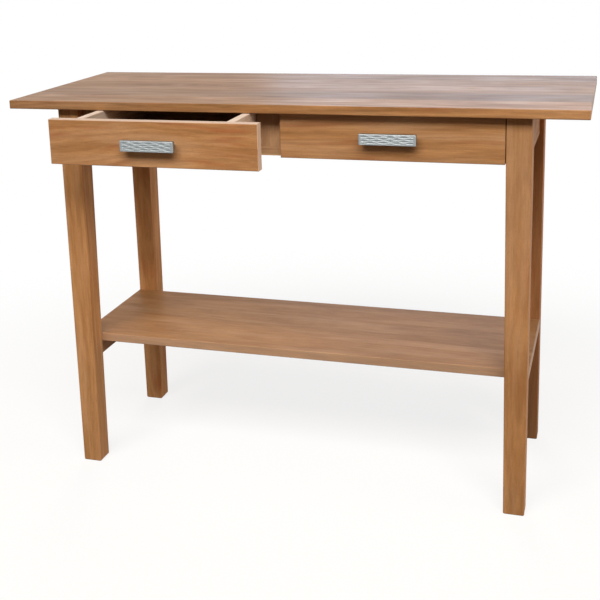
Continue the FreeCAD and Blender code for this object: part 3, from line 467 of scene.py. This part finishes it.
def satin_metal():
    """Cast zinc, plated and rubbed: pale satin on the raised ripples, dull grey in the hollows."""
    material, tree = new_material("satin_nickel_cast_zinc")
    high, low = finish_colours("metal_high", "metal_low")
    place = add(tree, "ShaderNodeTexCoord").outputs["Object"]
    hollow = add(tree, "ShaderNodeAttribute", attribute_name="hollow").outputs["Fac"]
    colour = add(tree, "ShaderNodeMix", {"Factor": hollow, MIX_A: high, MIX_B: low}, data_type="RGBA")
    # Rubbing marks run along the bar, drawn 0.4 mm wide so that they show
    marks = grain_noise(tree, place, 8.3 * MM, 0.4 * MM, 2.0)
    shade = add(tree, "ShaderNodeMapRange", {"Value": marks, "To Min": 0.86, "To Max": 1.08})
    colour = add(tree, "ShaderNodeVectorMath", {0: colour, "Scale": shade}, operation="SCALE")
    gloss = add(tree, "ShaderNodeMapRange", {"Value": hollow, "To Min": 0.45, "To Max": 0.62})
    skin = add(tree, "ShaderNodeBsdfPrincipled",
               {"Base Color": colour, "Metallic": 1.0, "Roughness": gloss})
    add(tree, "ShaderNodeOutputMaterial", {"Surface": skin})
    return material


def ripple_height(x, z, sizes):
    """Height share of the ripples at a point of the pull's face: five rounded bands that wander."""
    half_width = 0.36 * sizes.ripple_pitch
    best = 0.0
    for row in range(-2, 3):
        swing = sizes.ripple_swing * (1 if row % 2 == 0 else -1)
        crest = row * sizes.ripple_pitch + swing * math.sin(math.pi * x / sizes.ripple_half_wave)
        off = abs(z - crest) / half_width
        if off < 1:
            best = max(best, math.sqrt(1 - off * off))
    return best


def pull_hollow(x, z, half_length, half_height, sizes):
    """How hollow the face is at a point: 0 on a ripple and on the plain rim, 1 between ripples."""
    end_fade = 2.5 * MM
    rim_fade = 0.8 * MM
    from_end = half_length - PULL_ROUND - end_fade - abs(x)
    from_rim = half_height - PULL_ROUND - abs(z)
    inside = min(from_end / end_fade, from_rim / rim_fade)
    return (1 - ripple_height(x, z, sizes)) * min(1.0, max(0.0, inside))


def pull_section(half_height, thickness, inset):
    """Outline of the bar, seen along its length, as (depth, height, on face) from the face's middle."""
    face_points = 56
    top = half_height - inset
    flat = top - PULL_ROUND
    face = [(inset, -flat + 2 * flat * i / face_points, True) for i in range(face_points + 1)]
    corner = []
    for i in range(1, ROUND_STEPS + 1):
        turn = 0.5 * math.pi * i / ROUND_STEPS
        depth = inset + PULL_ROUND * (1 - math.cos(turn))
        corner.append((depth, flat + PULL_ROUND * math.sin(turn), False))
    back = [(thickness, top, False), (thickness, -top, False)]
    low_corner = [(depth, -height, False) for depth, height, on_face in reversed(corner)]
    return face + corner + back + low_corner


def pull_stations(half_length):
    """Places along the bar, each with how far the section draws in there to round the bar's ends."""
    runs = 176
    flat = half_length - PULL_ROUND
    end = []
    for i in range(ROUND_STEPS + 1):
        turn = 0.5 * math.pi * i / ROUND_STEPS
        x = -half_length + PULL_ROUND * (1 - math.cos(turn))
        end.append((x, PULL_ROUND * (1 - math.sin(turn))))
    middle = [(-flat + 2 * flat * i / runs, 0.0) for i in range(1, runs)]
    return end + middle + [(-x, inset) for x, inset in reversed(end)]


def pull_bar(name, node, sizes):
    """Rippled bar of one pull, lofted through sections along its length."""
    low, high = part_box(node)
    half_length = (high.x - low.x) / 2
    half_height = (high.z - low.z) / 2
    thickness = high.y - low.y
    made = bmesh.new()
    hollows = made.verts.layers.float.new("hollow")
    rings = []
    for x, inset in pull_stations(half_length):
        ring = []
        for y, z, on_face in pull_section(half_height, thickness, inset):
            hollow = pull_hollow(x, z, half_length, half_height, sizes) if on_face else 0.0
            point = made.verts.new((x, y + sizes.ripple_depth * hollow, z))
            point[hollows] = hollow
            ring.append(point)
        rings.append(ring)
    count = len(rings[0])
    for near, far in zip(rings, rings[1:]):
        for i in range(count):
            made.faces.new((near[i], near[(i + 1) % count], far[(i + 1) % count], far[i]))
    made.faces.new(rings[0][::-1])
    made.faces.new(rings[-1])
    bmesh.ops.recalc_face_normals(made, faces=made.faces)
    mesh = bpy.data.meshes.new(name)
    made.to_mesh(mesh)
    made.free()
    for face in mesh.polygons:
        face.use_smooth = True
    mesh.set_sharp_from_angle(angle=math.radians(50))
    bar = bpy.data.objects.new(name, mesh)
    bar.location = ((low.x + high.x) / 2, low.y, (low.z + high.z) / 2)
    bpy.context.scene.collection.objects.link(bar)
    return bar


class OBJECT_OT_drawer_pulls(bpy.types.Operator):
    """Make the rippled bar of each pull and give bars and posts their metal"""
    bl_idname = "object.drawer_pulls"
    bl_label = "Drawer Pulls"

    def execute(self, context):
        sizes = context.scene.table_sizes
        metal = satin_metal()
        for drawer in ("left_drawer", "right_drawer"):
            node = drawer + "_handle_bar"
            bar = pull_bar(drawer + "_rippled_pull", node, sizes)
            bar.data.materials.append(metal)
            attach(bar, drawer)
            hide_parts(node)
            for side in ("left", "right"):
                dress(f"{drawer}_handle_post_{side}", metal)
        return {"FINISHED"}


def seen_directly(tree):
    """One for rays from the camera, from a gloss or through glass, nought for those that only light."""
    rays = add(tree, "ShaderNodeLightPath").outputs
    seen = add(tree, "ShaderNodeMath", {0: rays["Is Camera Ray"], 1: rays["Is Glossy Ray"]},
               operation="MAXIMUM")
    return add(tree, "ShaderNodeMath", {0: seen, 1: rays["Is Transmission Ray"]}, operation="MAXIMUM")


def studio_world():
    """White world for the camera and for reflections, a quieter warm fill for the rest."""
    world = bpy.data.worlds.new("studio_white")
    world.use_nodes = True
    tree = world.node_tree
    tree.nodes.clear()
    fill = add(tree, "ShaderNodeBackground", {"Color": linear("#FFDDBB"), "Strength": 0.05})
    white = add(tree, "ShaderNodeBackground", {"Color": linear("#FFFFFF"), "Strength": 1.0})
    both = add(tree, "ShaderNodeMixShader", {0: seen_directly(tree), 1: fill, 2: white})
    add(tree, "ShaderNodeOutputWorld", {"Surface": both})
    return world


def floor_paint():
    """Pale matt paint: it takes the table's shadow lightly and bounces little light up."""
    material, tree = new_material("pale_studio_floor")
    bounce = add(tree, "ShaderNodeBsdfDiffuse", {"Color": linear("#6C5E50")})
    lit = add(tree, "ShaderNodeBsdfDiffuse", {"Color": linear("#FAFAFA")})
    glow = add(tree, "ShaderNodeEmission", {"Color": linear("#FFFFFF"), "Strength": 1.0})
    # The shadow fades out between 0.7 and 1.8 m from the table's middle
    place = add(tree, "ShaderNodeTexCoord").outputs["Object"]
    away = add(tree, "ShaderNodeVectorMath", {0: place}, operation="LENGTH")
    share = add(tree, "ShaderNodeMapRange",
                {"Value": away, "From Min": 0.7, "From Max": 1.8, "To Min": 0.8},
                interpolation_type="SMOOTHSTEP")
    pale = add(tree, "ShaderNodeMixShader", {0: share, 1: lit, 2: glow})
    both = add(tree, "ShaderNodeMixShader", {0: seen_directly(tree), 1: bounce, 2: pale})
    add(tree, "ShaderNodeOutputMaterial", {"Surface": both})
    return material


def studio_floor():
    """Flat floor that reaches far past the picture on all sides."""
    reach = 30.0
    corners = [(-reach, -reach, 0), (reach, -reach, 0), (reach, reach, 0), (-reach, reach, 0)]
    mesh = bpy.data.meshes.new("floor")
    mesh.from_pydata(corners, [], [(0, 1, 2, 3)])
    mesh.materials.append(floor_paint())
    floor = bpy.data.objects.new("floor", mesh)
    bpy.context.scene.collection.objects.link(floor)


def area_light(name, where, target, width, height, watts, colour):
    """Soft box aimed at a point."""
    lamp = bpy.data.lights.new(name, "AREA")
    lamp.shape = "RECTANGLE"
    lamp.size = width
    lamp.size_y = height
    lamp.energy = watts
    lamp.color = linear(colour)[:3]
    light = bpy.data.objects.new(name, lamp)
    light.location = where
    light.rotation_euler = (Vector(target) - Vector(where)).to_track_quat("-Z", "Y").to_euler()
    bpy.context.scene.collection.objects.link(light)
    return light


def studio_lights():
    """Key above the front, warm fill from the right, faint cool sheen on the top and a fill behind."""
    table_middle = (0.0, 0.0, 0.6)
    right_of_top = (0.2, 0.0, 0.8)
    area_light("key", (0.4, -3.75, 4.4), table_middle,
               width=6.5, height=2.0, watts=436, colour="#FFF8EE")
    area_light("side_fill", (8.0, -0.63, 1.23), table_middle,
               width=4.2, height=2.95, watts=290, colour="#FFEBD6")
    area_light("sheen", (0.25, 3.2, 1.4), right_of_top,
               width=2.7, height=1.0, watts=13, colour="#B4DCFF")
    back_fill = area_light("back_fill", (-1.2, 3.6, 1.6), table_middle,
                           width=1.6, height=1.2, watts=50, colour="#FFF6EA")
    back_fill.visible_glossy = False


def photo_camera():
    """Camera from a perspective fit to the table's edges in the picture, for a square frame of 600."""
    frame_size = 600
    focal = 1074.1
    middle_x = 267.0
    middle_y = 180.4
    pitch = 0.225
    roll = -0.0336
    yaw = 0.3194
    place = (0.6415, -2.1774, 1.1696)
    sensor = 36.0
    right = Vector((math.cos(yaw), math.sin(yaw), 0))
    level = Vector((-math.sin(yaw), math.cos(yaw), 0))
    ahead = math.cos(pitch) * level - math.sin(pitch) * Vector((0, 0, 1))
    up = right.cross(ahead)
    rolled_right = math.cos(roll) * right + math.sin(roll) * up
    rolled_up = -math.sin(roll) * right + math.cos(roll) * up
    lens = bpy.data.cameras.new("photo_camera")
    lens.sensor_width = sensor
    lens.lens = sensor * focal / frame_size
    lens.shift_x = (frame_size / 2 - middle_x) / frame_size
    lens.shift_y = (middle_y - frame_size / 2) / frame_size
    camera = bpy.data.objects.new("photo_camera", lens)
    turn = Matrix((rolled_right, rolled_up, -ahead)).transposed().to_4x4()
    camera.matrix_world = Matrix.Translation(place) @ turn
    bpy.context.scene.collection.objects.link(camera)
    return camera


class OBJECT_OT_table_stage(bpy.types.Operator):
    """Floor, soft studio light, white world and the camera"""
    bl_idname = "object.table_stage"
    bl_label = "Stage"

    def execute(self, context):
        scene = context.scene
        scene.view_settings.view_transform = "Standard"
        scene.world = studio_world()
        studio_floor()
        studio_lights()
        scene.camera = photo_camera()
        return {"FINISHED"}


PIECE_OPERATORS = (
    OBJECT_OT_table_top,
    OBJECT_OT_table_shelf,
    OBJECT_OT_table_frame,
    OBJECT_OT_drawer_fronts,
    OBJECT_OT_drawer_boxes,
    OBJECT_OT_table_screws,
    OBJECT_OT_drawer_pulls,
    OBJECT_OT_table_stage,
)


class VIEW3D_PT_serving_table(bpy.types.Panel):
    """Colours, sizes and pieces of the serving table"""
    bl_idname = "VIEW3D_PT_serving_table"
    bl_label = "Serving Table"
    bl_space_type = "VIEW_3D"
    bl_region_type = "UI"
    bl_category = "Serving Table"

    def draw(self, context):
        for group in (context.scene.table_finish, context.scene.table_sizes):
            column = self.layout.column()
            for name in group.__annotations__:
                column.prop(group, name)
        for operator in PIECE_OPERATORS:
            self.layout.operator(operator.bl_idname)


CLASSES = (TableFinish, TableSizes, *PIECE_OPERATORS, VIEW3D_PT_serving_table)


def register():
    for item in CLASSES:
        bpy.utils.register_class(item)
    bpy.types.Scene.table_finish = bpy.props.PointerProperty(type=TableFinish)
    bpy.types.Scene.table_sizes = bpy.props.PointerProperty(type=TableSizes)


def unregister():
    del bpy.types.Scene.table_sizes
    del bpy.types.Scene.table_finish
    for item in reversed(CLASSES):
        bpy.utils.unregister_class(item)


def main():
    register()
    for operator in PIECE_OPERATORS:
        group, name = operator.bl_idname.split(".")
        getattr(getattr(bpy.ops, group), name)()
    bpy.context.view_layer.update()


if __name__ == "__main__":
    main()
